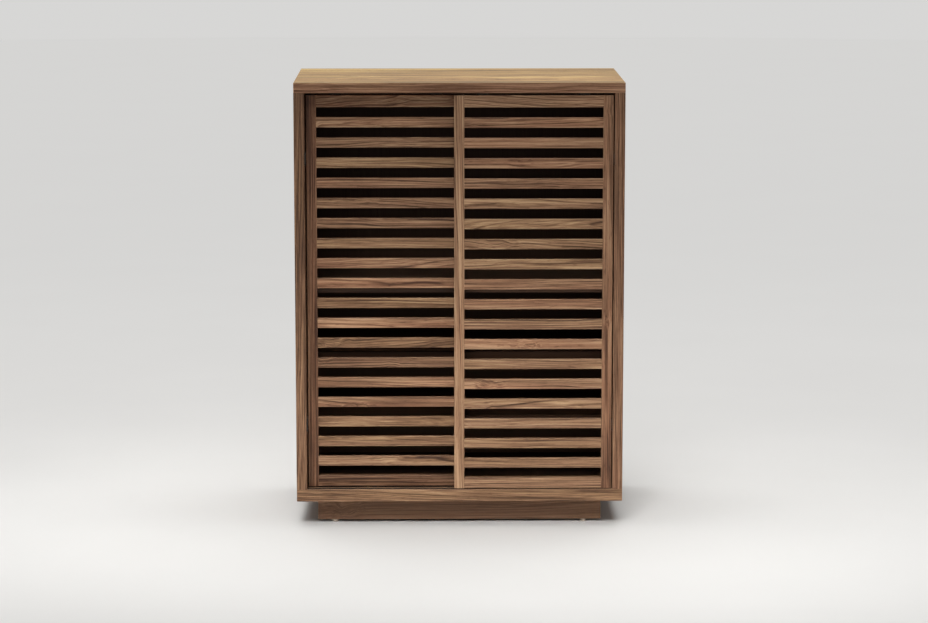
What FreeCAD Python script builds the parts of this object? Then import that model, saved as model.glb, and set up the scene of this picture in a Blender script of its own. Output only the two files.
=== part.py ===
import FreeCAD, Part
import os

from FreeCAD import Vector

# Slatted sliding-door cabinet, in millimetres.
# The origin is on the floor, under the middle of the cabinet. X runs to the right, the front
# faces -Y and Z is up. Depths are counted backwards from the front face of the carcass.

# Carcass boards
carcass_width = 800.0
carcass_depth = 450.0
side_thickness = 25.0
top_thickness = 25.0
bottom_thickness = 30.0
opening_height = 975.0
board_easing = 1.0

# Back panel, let into a rebate round the back of the carcass
back_thickness = 6.0
back_inset = 4.0
back_lap = 9.0
back_play = 0.3

# Plinth frame and feet
plinth_height = 56.0
plinth_board = 18.0
plinth_side_inset = 50.0
plinth_front_inset = 50.0
plinth_back_inset = 30.0
corner_block_leg = 46.0
corner_block_tip = 10.0
corner_block_height = 38.0
glide_height = 6.0
glide_diameter = 16.0
glide_side_inset = 43.0

# Shelves and the pins that carry the two loose ones
shelf_thickness = 18.0
shelf_setback = 70.0
shelf_easing = 0.8
shelf_side_play = 1.0
shelf_back_play = 2.0
pin_diameter = 5.0
pin_reach = 9.0
pin_spade_length = 9.0
pin_spade_width = 7.0
pin_height_above_floor = 153.0
pin_step = 32.0
pin_steps_between_shelves = 5
pin_edge_inset = 48.0
pin_hole_play = 0.05
pin_hole_end_play = 1.0
pin_seat_gap = 0.2

# Loose tenons that join the boards
tenon_thickness = 8.0
tenon_width = 40.0
tenon_in_face = 12.0
tenon_in_edge = 20.0
tenon_edge_inset = 90.0
tenon_play = 0.1
tenon_end_play = 0.8

# Sliding doors
door_thickness = 20.0
door_setback = 3.0
door_pitch = 41.0
door_overlap = 26.0
door_side_gap = 3.0
door_bottom_gap = 2.0
door_lift = 6.0
rear_door_drop = 2.5
stile_width = 24.5
top_rail_height = 29.0
bottom_rail_height = 26.4
stile_easing = 1.0

# Slats, eighteen to a door, tenoned into the stiles
slat_count = 18
slat_height = 24.6
slat_thickness = 10.0
slat_easing = 0.8
slat_tenon_length = 8.0
slat_tenon_thickness = 5.0
slat_tenon_setback = 2.5
slat_tenon_shoulder = 3.5
rail_tenon_length = 14.0
rail_tenon_thickness = 8.0
rail_tenon_shoulder = 4.0
mortise_play = 0.1
mortise_end_play = 0.6

# Door running gear
wheel_diameter = 22.0
wheel_width = 8.0
wheel_running_gap = 0.05
axle_diameter = 4.0
axle_end_inset = 0.4
axle_running_gap = 0.05
axle_hole_play = 0.05
housing_length = 44.0
housing_width = 14.0
housing_height = 20.0
housing_easing = 2.0
housing_wheel_play = 0.5
housing_wheel_clearance = 1.5
roller_edge_inset = 70.0
guide_thickness = 8.0
guide_length = 30.0
guide_engagement = 7.0
guide_root = 11.0
guide_easing = 2.5
guide_top_play = 0.5

# Tracks
track_play = 0.3
track_wall = 2.4
track_floor = 1.5
bottom_track_height = 6.5
track_end_play = 0.5
track_groove_play = 0.1
trough_land = 6.75
trough_rear_play = 2.5

# Self-stick door bumpers
bumper_length = 30.0
bumper_width = 9.0
bumper_touch_gap = 0.3
bumper_end_inset = 160.0

AXIS_X = Vector(1, 0, 0)
AXIS_Y = Vector(0, 1, 0)
AXIS_Z = Vector(0, 0, 1)

# An edge runs along an axis when the sine of the angle between them is under this
axis_tolerance = 0.01

# Levels and places that follow from the sizes above
front_y = -carcass_depth / 2
half_width = carcass_width / 2
opening_half = half_width - side_thickness
plinth_bottom = glide_height
plinth_top = plinth_bottom + plinth_height
floor_z = plinth_top + bottom_thickness
ceiling_z = floor_z + opening_height
cabinet_top = ceiling_z + top_thickness
side_centre = opening_half + side_thickness / 2
back_front_depth = carcass_depth - back_inset - back_thickness
middle_shelf_bottom = (floor_z + ceiling_z - shelf_thickness) / 2

door_width = (2 * opening_half - 2 * door_side_gap + door_overlap) / 2
door_height = opening_height - door_bottom_gap - door_lift
slat_gap = door_height - top_rail_height - bottom_rail_height - slat_count * slat_height
slat_gap = slat_gap / (slat_count + 1)
slat_pitch = slat_height + slat_gap

guide_rise = door_lift + guide_engagement
top_track_height = guide_rise + guide_top_play + track_floor
track_inner = wheel_width + 2 * track_play
track_width = track_inner + 2 * track_wall
trough_depth = bottom_track_height + rear_door_drop


class Door:
    """One sliding door: where its left edge, front face and bottom edge lie when closed."""

    def __init__(self, name, left, face, bottom):
        self.name = name
        self.left = left
        self.right = left + door_width
        self.face = face
        self.back = face + door_thickness
        self.centre = face + door_thickness / 2
        self.bottom = bottom
        self.top = bottom + door_height
        self.wheel_z = bottom - door_bottom_gap - bottom_track_height + track_floor
        self.wheel_z += wheel_running_gap + wheel_diameter / 2
        self.wheel_xs = (self.left + roller_edge_inset, self.right - roller_edge_inset)


front_door = Door(
    "front_door",
    opening_half - door_side_gap - door_width,
    door_setback,
    floor_z + door_bottom_gap,
)
rear_door = Door(
    "rear_door",
    -opening_half + door_side_gap,
    door_setback + door_pitch,
    floor_z + door_bottom_gap - rear_door_drop,
)


# Shapes used by many pieces


def block(x_span, depth_span, z_span):
    """A square-edged board between two X values, two depths and two heights."""
    corner = Vector(x_span[0], front_y + depth_span[0], z_span[0])
    length = x_span[1] - x_span[0]
    depth = depth_span[1] - depth_span[0]
    height = z_span[1] - z_span[0]
    return Part.makeBox(length, depth, height, corner)


def eased(shape, width, *axes):
    """Take the sharpness off the straight edges that run along the given axes."""
    edges = []
    for edge in shape.Edges:
        direction = edge.tangentAt(edge.FirstParameter)
        if any(direction.cross(axis).Length < axis_tolerance for axis in axes):
            edges.append(edge)
    return shape.makeChamfer(width, edges)


def about(centre, size):
    """The span of the given size whose middle is at centre."""
    return (centre - size / 2, centre + size / 2)


def grown(span, play):
    """The same span, longer by the play at both ends."""
    return (span[0] - play, span[1] + play)


def mirrored(shape):
    """The same shape on the other side of the cabinet."""
    return shape.mirror(Vector(0, 0, 0), AXIS_X)


def both_sides(shapes):
    """The given shapes and their mirror images."""
    return shapes + [mirrored(shape) for shape in shapes]


# Joints between the boards


def side_tenons(play=0.0):
    """Loose tenons from the top and bottom boards into the ends of the right-hand side."""
    end_play = tenon_end_play if play else 0.0
    depths = (tenon_edge_inset, carcass_depth / 2, carcass_depth - tenon_edge_inset)
    tenons = []
    for depth in depths:
        x_span = grown(about(side_centre, tenon_thickness), play)
        depth_span = grown(about(depth, tenon_width), play)
        upper = grown((ceiling_z - tenon_in_edge, ceiling_z + tenon_in_face), end_play)
        lower = grown((floor_z - tenon_in_face, floor_z + tenon_in_edge), end_play)
        tenons += [block(x_span, depth_span, upper), block(x_span, depth_span, lower)]
    return tenons


def shelf_tenons(play=0.0):
    """Loose tenons from the right-hand side into the end of the middle shelf."""
    end_play = tenon_end_play if play else 0.0
    x_span = grown((opening_half - tenon_in_edge, opening_half + tenon_in_face), end_play)
    z_span = grown(about(middle_shelf_bottom + shelf_thickness / 2, tenon_thickness), play)
    depths = (shelf_setback + tenon_edge_inset, back_front_depth - tenon_edge_inset)
    return [block(x_span, grown(about(depth, tenon_width), play), z_span) for depth in depths]


# Holes for the shelf pins: at each shelf place one in use and one a step higher


def pin_depths():
    """How far back the front and rear pins stand."""
    rear = back_front_depth - shelf_back_play - pin_edge_inset
    return (shelf_setback + pin_edge_inset, rear)


def pin_heights():
    """Pin centre under the lower and the upper loose shelf."""
    lower = floor_z + pin_height_above_floor - pin_diameter / 2
    return (lower, lower + pin_steps_between_shelves * pin_step)


def pin_holes():
    """Every pin hole in the right-hand side."""
    holes = []
    reach = pin_reach + pin_hole_end_play
    radius = pin_diameter / 2 + pin_hole_play
    for place in pin_heights():
        for height in (place, place + pin_step):
            for depth in pin_depths():
                start = Vector(opening_half, front_y + depth, height)
                holes.append(Part.makeCylinder(radius, reach, start, AXIS_X))
    return holes


def shelf_pin(depth, height):
    """Steel pin in the right-hand side, with a flat-topped spade under the shelf."""
    start = Vector(opening_half + pin_reach, front_y + depth, height)
    peg = Part.makeCylinder(pin_diameter / 2, pin_reach, start, -AXIS_X)
    spade_span = (opening_half - pin_spade_length, opening_half)
    spade_heights = about(height, pin_diameter)
    return peg.fuse(block(spade_span, about(depth, pin_spade_width), spade_heights))


# Carcass boards


def groove_span(door):
    """Depths that a track covers under or over a door."""
    return about(door.centre, track_width)


def track_groove(door, height_span):
    """Groove that a track is pressed into, between the sides."""
    x_span = (-opening_half, opening_half)
    return block(x_span, grown(groove_span(door), track_groove_play), height_span)


def rear_trough():
    """Lowered strip of the cabinet floor that the rear door runs in."""
    start = groove_span(front_door)[1] + trough_land
    end = rear_door.back + trough_rear_play
    height_span = (floor_z - trough_depth, floor_z)
    return block((-opening_half, opening_half), (start, end), height_span)


def back_rebate():
    """Rebate round the back of the four boards, for the back panel."""
    x_span = grown((-opening_half, opening_half), back_lap + back_play)
    z_span = grown((floor_z, ceiling_z), back_lap + back_play)
    return block(x_span, (back_front_depth, carcass_depth), z_span)


def make_top_panel():
    """Top board, with a groove for each top track."""
    board = block((-half_width, half_width), (0, carcass_depth), (ceiling_z, cabinet_top))
    board = eased(board, board_easing, AXIS_X, AXIS_Y, AXIS_Z)
    groove_height = (ceiling_z, ceiling_z + top_track_height)
    tools = [track_groove(door, groove_height) for door in (front_door, rear_door)]
    tools.append(back_rebate())
    tools += both_sides(side_tenons(tenon_play))
    return board.cut(tools)


def make_bottom_panel():
    """Bottom board, with a groove for the front track and a trough for the rear door."""
    board = block((-half_width, half_width), (0, carcass_depth), (plinth_top, floor_z))
    board = eased(board, board_easing, AXIS_X, AXIS_Y, AXIS_Z)
    tools = [track_groove(front_door, (floor_z - bottom_track_height, floor_z))]
    tools += [rear_trough(), back_rebate()]
    tools += both_sides(side_tenons(tenon_play))
    return board.cut(tools)


def make_right_side():
    """Right-hand side board, standing on the bottom board."""
    board = block((opening_half, half_width), (0, carcass_depth), (floor_z, ceiling_z))
    board = eased(board, board_easing, AXIS_Z)
    tools = [back_rebate()] + pin_holes()
    tools += side_tenons(tenon_play) + shelf_tenons(tenon_play)
    return board.cut(tools)


def make_back_panel():
    """Thin back panel, set into the rebate."""
    x_span = grown((-opening_half, opening_half), back_lap)
    z_span = grown((floor_z, ceiling_z), back_lap)
    return block(x_span, (back_front_depth, back_front_depth + back_thickness), z_span)


# Shelves


def shelf_board(half_length, depth_end, bottom):
    """A shelf with eased long edges."""
    x_span = (-half_length, half_length)
    board = block(x_span, (shelf_setback, depth_end), (bottom, bottom + shelf_thickness))
    return eased(board, shelf_easing, AXIS_X)


def make_middle_shelf():
    """Fixed shelf half-way up, tenoned to both sides."""
    board = shelf_board(opening_half, back_front_depth, middle_shelf_bottom)
    return board.cut(both_sides(shelf_tenons(tenon_play)))


def make_loose_shelf(pin_height):
    """Loose shelf that rests on four pins."""
    bottom = pin_height + pin_diameter / 2 + pin_seat_gap
    half_length = opening_half - shelf_side_play
    return shelf_board(half_length, back_front_depth - shelf_back_play, bottom)


# Plinth

plinth_half = half_width - plinth_side_inset
plinth_back_depth = carcass_depth - plinth_back_inset
plinth_inner_half = plinth_half - plinth_board
plinth_inner_front = plinth_front_inset + plinth_board
plinth_inner_back = plinth_back_depth - plinth_board


def plan_prism(points, z_span):
    """Extrude a plan outline of (X, depth) points between two heights."""
    corners = [Vector(x, front_y + depth, z_span[0]) for x, depth in points]
    face = Part.Face(Part.makePolygon(corners + corners[:1]))
    return face.extrude(AXIS_Z * (z_span[1] - z_span[0]))


def plinth_rail(outer_depth, inner_depth):
    """Front or back plinth board, mitred at both ends."""
    points = [(-plinth_half, outer_depth), (plinth_half, outer_depth)]
    points += [(plinth_inner_half, inner_depth), (-plinth_inner_half, inner_depth)]
    return plan_prism(points, (plinth_bottom, plinth_top))


def make_plinth_right():
    """Right-hand plinth board, mitred at both ends."""
    points = [(plinth_half, plinth_front_inset), (plinth_half, plinth_back_depth)]
    points += [(plinth_inner_half, plinth_inner_back), (plinth_inner_half, plinth_inner_front)]
    return plan_prism(points, (plinth_bottom, plinth_top))


def make_plinth_brace():
    """Board across the middle of the plinth, front to back."""
    depth_span = (plinth_inner_front, plinth_inner_back)
    return block(about(0, plinth_board), depth_span, (plinth_bottom, plinth_top))


def corner_block(corner_depth, inward):
    """Glue block in a right-hand corner of the plinth, its inner corner cut off."""
    far = corner_block_leg
    tip = corner_block_tip
    points = []
    for across, along in ((0, 0), (far, 0), (far, tip), (tip, far), (0, far)):
        points.append((plinth_inner_half - across, corner_depth + inward * along))
    return plan_prism(points, (plinth_top - corner_block_height, plinth_top))


def glide(depth):
    """Round nylon glide under the right-hand end of a plinth board."""
    foot = Vector(plinth_half - glide_side_inset, front_y + depth, 0)
    return Part.makeCylinder(glide_diameter / 2, glide_height, foot, AXIS_Z)


# Doors


def slat_levels(door):
    """Bottom of each slat, lowest first."""
    first = door.bottom + bottom_rail_height + slat_gap
    return [first + step * slat_pitch for step in range(slat_count)]


def slat_tenon(door, x_span, level, play=0.0):
    """Stub tenon on a slat's end, or its mortise when there is play."""
    front = door.face + slat_tenon_setback
    depth_span = grown((front, front + slat_tenon_thickness), play)
    low = level + slat_tenon_shoulder
    high = level + slat_height - slat_tenon_shoulder
    return block(x_span, depth_span, grown((low, high), play))


def rail_tenon(door, x_span, rail_span, play=0.0):
    """Tenon on a rail's end, or its mortise when there is play."""
    depth_span = grown(about(door.centre, rail_tenon_thickness), play)
    z_span = grown(grown(rail_span, -rail_tenon_shoulder), play)
    return block(x_span, depth_span, z_span)


def rail_spans(door):
    """Heights that the bottom and top rails cover."""
    bottom = (door.bottom, door.bottom + bottom_rail_height)
    top = (door.top - top_rail_height, door.top)
    return bottom, top


def make_slats(door):
    """All the slats of a door, flush with its front face."""
    inner_left = door.left + stile_width
    inner_right = door.right - stile_width
    slats = []
    for level in slat_levels(door):
        depth_span = (door.face, door.face + slat_thickness)
        slat = block((inner_left, inner_right), depth_span, (level, level + slat_height))
        slat = eased(slat, slat_easing, AXIS_X)
        left = slat_tenon(door, (inner_left - slat_tenon_length, inner_left), level)
        right = slat_tenon(door, (inner_right, inner_right + slat_tenon_length), level)
        slats.append(slat.fuse([left, right]).removeSplitter())
    return Part.makeCompound(slats)


def make_stile(door, outer_x, inward):
    """Upright of a door, mortised on its inner face for the slats and rails."""
    inner_x = outer_x + inward * stile_width
    stile = block(
        sorted((outer_x, inner_x)), (door.face, door.back), (door.bottom, door.top)
    )
    stile = eased(stile, stile_easing, AXIS_Z)
    slat_reach = inner_x - inward * (slat_tenon_length + mortise_end_play)
    rail_reach = inner_x - inward * (rail_tenon_length + mortise_end_play)
    mortises = []
    for level in slat_levels(door):
        mortises.append(slat_tenon(door, sorted((slat_reach, inner_x)), level, mortise_play))
    for rail_span in rail_spans(door):
        mortises.append(rail_tenon(door, sorted((rail_reach, inner_x)), rail_span, mortise_play))
    return stile.cut(mortises)


def make_rail(door, rail_span):
    """Rail between the stiles, with a tenon at each end."""
    inner_left = door.left + stile_width
    inner_right = door.right - stile_width
    rail = block((inner_left, inner_right), (door.face, door.back), rail_span)
    rail = eased(rail, stile_easing, AXIS_X)
    left = rail_tenon(door, (inner_left - rail_tenon_length, inner_left), rail_span)
    right = rail_tenon(door, (inner_right, inner_right + rail_tenon_length), rail_span)
    return rail.fuse([left, right]).removeSplitter()


def make_bottom_rail(door):
    """Bottom rail, mortised from below for the two roller housings."""
    housings = [housing_body(door, x, mortise_play) for x in door.wheel_xs]
    return make_rail(door, rail_spans(door)[0]).cut(housings)


def make_top_rail(door):
    """Top rail, slotted from above for the two guides."""
    guides = [guide_body(door, x, mortise_play) for x in door.wheel_xs]
    return make_rail(door, rail_spans(door)[1]).cut(guides)


def housing_body(door, x, play=0.0):
    """Outside of a roller housing, or its mortise when there is play."""
    x_span = grown(about(x, housing_length), play)
    depth_span = grown(about(door.centre, housing_width), play)
    body = block(x_span, depth_span, (door.bottom, door.bottom + housing_height + play))
    return eased(body, housing_easing, AXIS_Z)


def make_housings(door):
    """Moulded housings in the bottom rail, open below for the wheels."""
    housings = []
    for x in door.wheel_xs:
        slot_length = wheel_diameter + 2 * housing_wheel_clearance
        slot_width = wheel_width + 2 * housing_wheel_play
        slot_top = door.wheel_z + wheel_diameter / 2 + housing_wheel_clearance
        slot = block(about(x, slot_length), about(door.centre, slot_width), (door.bottom, slot_top))
        bore = rod(door, x, housing_width, axle_diameter / 2 + axle_hole_play)
        housings.append(housing_body(door, x).cut([slot, bore]))
    return Part.makeCompound(housings)


def rod(door, x, length, radius):
    """Cylinder on a wheel's axis, centred in the door."""
    start = Vector(x, front_y + door.centre - length / 2, door.wheel_z)
    return Part.makeCylinder(radius, length, start, AXIS_Y)


def make_axles(door):
    """Steel axles held in the housings."""
    length = housing_width - 2 * axle_end_inset
    return Part.makeCompound([rod(door, x, length, axle_diameter / 2) for x in door.wheel_xs])


def make_wheel(door, x):
    """Nylon wheel, bored to run on its axle."""
    tread = rod(door, x, wheel_width, wheel_diameter / 2)
    return tread.cut(rod(door, x, wheel_width, axle_diameter / 2 + axle_running_gap))


def guide_body(door, x, play=0.0):
    """Upright guide in the top rail, or its slot when there is play."""
    x_span = grown(about(x, guide_length), play)
    depth_span = grown(about(door.centre, guide_thickness), play)
    body = block(x_span, depth_span, (door.top - guide_root - play, door.top + guide_rise))
    return eased(body, guide_easing, AXIS_Z)


def make_guides(door):
    """The two guides that run in the top track."""
    return Part.makeCompound([guide_body(door, x) for x in door.wheel_xs])


# Tracks and bumpers


def make_track(door, height_span, open_upwards):
    """Channel for the wheels or guides, open on one side."""
    x_span = grown((-opening_half, opening_half), -track_end_play)
    channel = block(x_span, groove_span(door), height_span)
    if open_upwards:
        hollow_span = (height_span[0] + track_floor, height_span[1])
    else:
        hollow_span = (height_span[0], height_span[1] - track_floor)
    return channel.cut(block(x_span, about(door.centre, track_inner), hollow_span))


def make_bottom_track(door):
    """Channel under a door, open upwards."""
    top = door.bottom - door_bottom_gap
    return make_track(door, (top - bottom_track_height, top), True)


def make_top_track(door):
    """Channel over a door, open downwards."""
    return make_track(door, (ceiling_z, ceiling_z + top_track_height), False)


def bumper(door, height):
    """Rubber pad stuck to the right-hand side, where a door's edge meets it."""
    x_span = (opening_half - door_side_gap + bumper_touch_gap, opening_half)
    return block(x_span, about(door.centre, bumper_width), about(height, bumper_length))


def make_bumpers():
    """Two pads for each door on each side."""
    heights = (floor_z + bumper_end_inset, ceiling_z - bumper_end_inset)
    pads = [bumper(door, height) for door in (front_door, rear_door) for height in heights]
    return Part.makeCompound(both_sides(pads))


# All the pieces, by name


def carcass_pieces():
    """Boards, shelves, their joints and the tracks."""
    right_side = make_right_side()
    lower_pins, upper_pins = pin_heights()
    pins = [shelf_pin(depth, height) for height in pin_heights() for depth in pin_depths()]
    tenons = side_tenons() + shelf_tenons()
    return {
        "top_panel": make_top_panel(),
        "bottom_panel": make_bottom_panel(),
        "side_panel_left": mirrored(right_side),
        "side_panel_right": right_side,
        "back_panel": make_back_panel(),
        "middle_shelf": make_middle_shelf(),
        "lower_loose_shelf": make_loose_shelf(lower_pins),
        "upper_loose_shelf": make_loose_shelf(upper_pins),
        "shelf_pins": Part.makeCompound(both_sides(pins)),
        "board_tenons": Part.makeCompound(both_sides(tenons)),
        "front_bottom_track": make_bottom_track(front_door),
        "rear_bottom_track": make_bottom_track(rear_door),
        "front_top_track": make_top_track(front_door),
        "rear_top_track": make_top_track(rear_door),
        "door_bumpers": make_bumpers(),
    }


def plinth_pieces():
    """Plinth frame, its corner blocks and the glides."""
    right = make_plinth_right()
    blocks = [corner_block(plinth_inner_front, 1), corner_block(plinth_inner_back, -1)]
    glide_depths = (plinth_front_inset + plinth_board / 2, plinth_back_depth - plinth_board / 2)
    return {
        "plinth_front": plinth_rail(plinth_front_inset, plinth_inner_front),
        "plinth_back": plinth_rail(plinth_back_depth, plinth_inner_back),
        "plinth_left": mirrored(right),
        "plinth_right": right,
        "plinth_brace": make_plinth_brace(),
        "plinth_corner_blocks": Part.makeCompound(both_sides(blocks)),
        "glides": Part.makeCompound(both_sides([glide(depth) for depth in glide_depths])),
    }


def door_pieces(door):
    """Everything that slides with one door."""
    pieces = {
        "left_stile": make_stile(door, door.left, 1),
        "right_stile": make_stile(door, door.right, -1),
        "top_rail": make_top_rail(door),
        "bottom_rail": make_bottom_rail(door),
        "slats": make_slats(door),
        "roller_housings": make_housings(door),
        "wheel_axles": make_axles(door),
        "left_wheel": make_wheel(door, door.wheel_xs[0]),
        "right_wheel": make_wheel(door, door.wheel_xs[1]),
        "top_guides": make_guides(door),
    }
    return {f"{door.name}_{name}": shape for name, shape in pieces.items()}


pieces = carcass_pieces()
pieces.update(plinth_pieces())
pieces.update(door_pieces(front_door))
pieces.update(door_pieces(rear_door))

os.makedirs("parts", exist_ok=True)
for name, shape in pieces.items():
    shape.exportStep(f"parts/{name}.step")
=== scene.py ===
import math
import random

import bmesh
import bpy
from mathutils import Matrix, Vector


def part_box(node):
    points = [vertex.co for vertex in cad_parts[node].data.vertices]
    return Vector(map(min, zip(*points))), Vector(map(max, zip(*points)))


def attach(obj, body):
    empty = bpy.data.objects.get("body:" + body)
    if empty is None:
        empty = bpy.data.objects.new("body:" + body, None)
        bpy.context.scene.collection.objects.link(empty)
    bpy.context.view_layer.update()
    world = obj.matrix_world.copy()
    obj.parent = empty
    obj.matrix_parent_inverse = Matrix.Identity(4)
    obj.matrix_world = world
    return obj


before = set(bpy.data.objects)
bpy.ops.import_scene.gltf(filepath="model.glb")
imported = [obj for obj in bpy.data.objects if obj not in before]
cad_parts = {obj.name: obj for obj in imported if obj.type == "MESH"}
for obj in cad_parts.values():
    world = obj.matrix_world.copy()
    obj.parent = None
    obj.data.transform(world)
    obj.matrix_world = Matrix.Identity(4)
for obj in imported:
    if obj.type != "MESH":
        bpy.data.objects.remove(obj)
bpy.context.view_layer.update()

DOORS = ("front_door", "rear_door")

# Sizes of the wood, in metres
SLAT_HEIGHT = 0.0246
SLATS_PER_DOOR = 18
VENEER_LEAF = 0.117
SOLID_WOOD = 9.0  # a leaf wider than any board, so that the board is all one leaf


# Wiring of shader nodes

# A Mix node's sockets share their names, so here are their places: amount, first, second, result
MIX_PLACES = {"VECTOR": (0, 4, 5, 1), "RGBA": (0, 6, 7, 2)}


class Wiring:
    """Adds nodes to a tree. Whatever is given for a socket is linked if it is a socket, or else set."""

    def __init__(self, tree):
        self.tree = tree

    def set(self, socket, value):
        if isinstance(value, bpy.types.NodeSocket):
            self.tree.links.new(value, socket)
        elif value is not None:
            socket.default_value = value

    def add(self, kind, inputs=None, **settings):
        """A new node, with its settings and its named inputs."""
        node = self.tree.nodes.new("ShaderNode" + kind)
        for name, value in settings.items():
            setattr(node, name, value)
        for name, value in (inputs or {}).items():
            self.set(node.inputs[name], value)
        return node

    def place(self, group, inputs):
        """A node group, with its named inputs. Gives its outputs."""
        return self.add("Group", node_tree=group, inputs=inputs).outputs

    def math(self, operation, *values, clamp=False):
        node = self.add("Math", operation=operation, use_clamp=clamp)
        for socket, value in zip(node.inputs, values):
            self.set(socket, value)
        return node.outputs[0]

    def times(self, first, second):
        return self.math("MULTIPLY", first, second)

    def plus(self, first, *others):
        """The sum of two or more values."""
        total = first
        for other in others:
            total = self.math("ADD", total, other)
        return total

    def less(self, first, second):
        return self.math("SUBTRACT", first, second)

    def share(self, value, amount, middle=0.5):
        """How far a value is from its middle, times an amount."""
        return self.times(self.less(value, middle), amount)

    def between(self, value, low, high, to_low=0.0, to_high=1.0):
        """Value eased from one range to another, and held at the ends."""
        inputs = {"Value": value, "From Min": low, "From Max": high, "To Min": to_low, "To Max": to_high}
        return self.add("MapRange", inputs, interpolation_type="SMOOTHSTEP").outputs["Result"]

    def vector(self, operation, first, second=None):
        node = self.add("VectorMath", operation=operation)
        self.set(node.inputs[0], first)
        self.set(node.inputs[1], second)
        return node.outputs["Value" if operation in ("LENGTH", "DOT_PRODUCT") else "Vector"]

    def scaled(self, vector, scale):
        inputs = {"Vector": vector, "Scale": scale}
        return self.add("VectorMath", inputs, operation="SCALE").outputs["Vector"]

    def split(self, vector):
        return self.add("SeparateXYZ", {"Vector": vector}).outputs

    def join(self, x, y, z):
        return self.add("CombineXYZ", {"X": x, "Y": y, "Z": z}).outputs[0]

    def noise(self, vector, per_metre, detail=2.0, roughness=0.5, result="Fac"):
        """Noise with so many marks per metre, the same each way or given for each."""
        if isinstance(per_metre, float):
            per_metre = (per_metre, per_metre, per_metre)
        stretched = self.vector("MULTIPLY", vector, per_metre)
        inputs = {"Vector": stretched, "Scale": 1.0, "Detail": detail, "Roughness": roughness}
        return self.add("TexNoise", inputs).outputs[result]

    def chance(self, number):
        """Three even random numbers that belong to a number."""
        node = self.add("TexWhiteNoise", {"W": number}, noise_dimensions="1D")
        return self.split(node.outputs["Color"])

    def mix(self, kind, amount, first, second, **settings):
        node = self.add("Mix", data_type=kind, **settings)
        *places, result = MIX_PLACES[kind]
        for at, value in zip(places, (amount, first, second)):
            self.set(node.inputs[at], value)
        return node.outputs[result]

    def choose(self, amount, first, second):
        """The first point, or the second where the amount is one."""
        return self.mix("VECTOR", amount, first, second)

    def tint(self, amount, first, second, how="MIX"):
        """The first colour, taken by an amount to the second or multiplied by it."""
        return self.mix("RGBA", amount, first, second, blend_type=how)

    def ramp(self, value, stops):
        node = self.add("ValToRGB", {"Fac": value})
        ends = node.color_ramp.elements
        while len(ends) < len(stops):
            ends.new(0.5)
        for end, (place, colour) in zip(ends, stops):
            end.position = place
            end.color = colour
        return node.outputs["Color"]

    def spot(self):
        """The point of the cabinet at rest, which stays with a piece as it moves."""
        return self.add("TexCoord").outputs["Object"]

    def facing(self, axis):
        """How far the surface faces along X, Y or Z."""
        return self.split(self.add("TexCoord").outputs["Normal"])[axis]


def shade(red, green, blue):
    """A screen colour of 0 to 255 as the linear colour that nodes take."""
    def linear(level):
        level /= 255
        return level / 12.92 if level <= 0.04045 else ((level + 0.055) / 1.055) ** 2.4
    return (linear(red), linear(green), linear(blue), 1.0)


WHITE = (1.0, 1.0, 1.0, 1.0)
GREY = (0.5, 0.5, 0.5, 1.0)
SOCKET_KINDS = {float: "NodeSocketFloat", tuple: "NodeSocketColor", Vector: "NodeSocketVector"}
SURFACE = {"Colour": tuple, "Roughness": float, "Height": float}


def start_group(name, inputs, outputs):
    """A named node group with its sockets, and the wiring to fill it."""
    group = bpy.data.node_groups.new(name, "ShaderNodeTree")
    for label, default in inputs.items():
        kind = SOCKET_KINDS[type(default)]
        socket = group.interface.new_socket(label, in_out="INPUT", socket_type=kind)
        socket.default_value = default
    for label, kind in outputs.items():
        group.interface.new_socket(label, in_out="OUTPUT", socket_type=SOCKET_KINDS[kind])
    given = group.nodes.new("NodeGroupInput").outputs
    results = group.nodes.new("NodeGroupOutput").inputs
    return group, Wiring(group), given, results


# Patterns of wood: marks per metre along the grain and across it, detail, and roughness of the noise

PATTERNS = {
    "knots": (5.5, 9.0, 1.0, 0.5),
    "swing": (20.0, 30.0, 1.0, 0.5),
    "waves": (2.6, 9.0, 2.0, 0.5),
    "uneven rings": (5.0, 70.0, 2.0, 0.6),
    "streaks": (2.0, 210.0, 4.0, 0.66),
    "lines": (3.4, 430.0, 2.0, 0.6),
    "threads": (2.8, 470.0, 2.0, 0.7),
    "drift": (1.6, 14.0, 2.0, 0.5),
    "fibres": (22.0, 900.0, 3.0, 0.6),
    "pores": (75.0, 1500.0, 2.0, 0.5),
    "flecks": (38.0, 560.0, 1.0, 0.5),
    "hue": (3.0, 40.0, 2.0, 0.5),
    "timber waves": (4.0, 20.0, 2.0, 0.5),
    "timber streaks": (3.0, 260.0, 3.0, 0.6),
    "timber fibres": (30.0, 1300.0, 2.0, 0.5),
}
# the levels of a pattern between which a mark fades in
MARK_EDGES = {"knots": (0.62, 0.77), "pores": (0.60, 0.72), "flecks": (0.62, 0.74)}


def pattern(w, name, point, result="Fac"):
    """One of the patterns at a point, from nought to one."""
    along, across, detail, roughness = PATTERNS[name]
    return w.noise(point, (along, across, across), detail, roughness, result)


def marks(w, name, point):
    """Separate marks: one inside a mark, and nought between them."""
    return w.between(pattern(w, name, point), *MARK_EDGES[name])


def wander(w, name, point):
    """A slow wander in all three directions, about nought."""
    return w.vector("SUBTRACT", pattern(w, name, point, "Color"), (0.5, 0.5, 0.5))


# Walnut figure

# steps by which leaves, boards and their luck differ
LEAF_STEP = 3.71
LUCK_STEP = 57.3
TREE_STEP = (1.737, 0.911, 1.737)

# waves of the trunk and the swing round a knot, in metres
WAVE_REACH = (0.0, 0.018, 0.018)
SWING_REACH = 0.07

# where the pith may lie, in metres, and how much it may lean
PITH_ASIDE = 0.09
PITH_NEAREST = 0.0165
PITH_DEPTHS = 0.055
PITH_LEAN = 0.10

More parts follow.
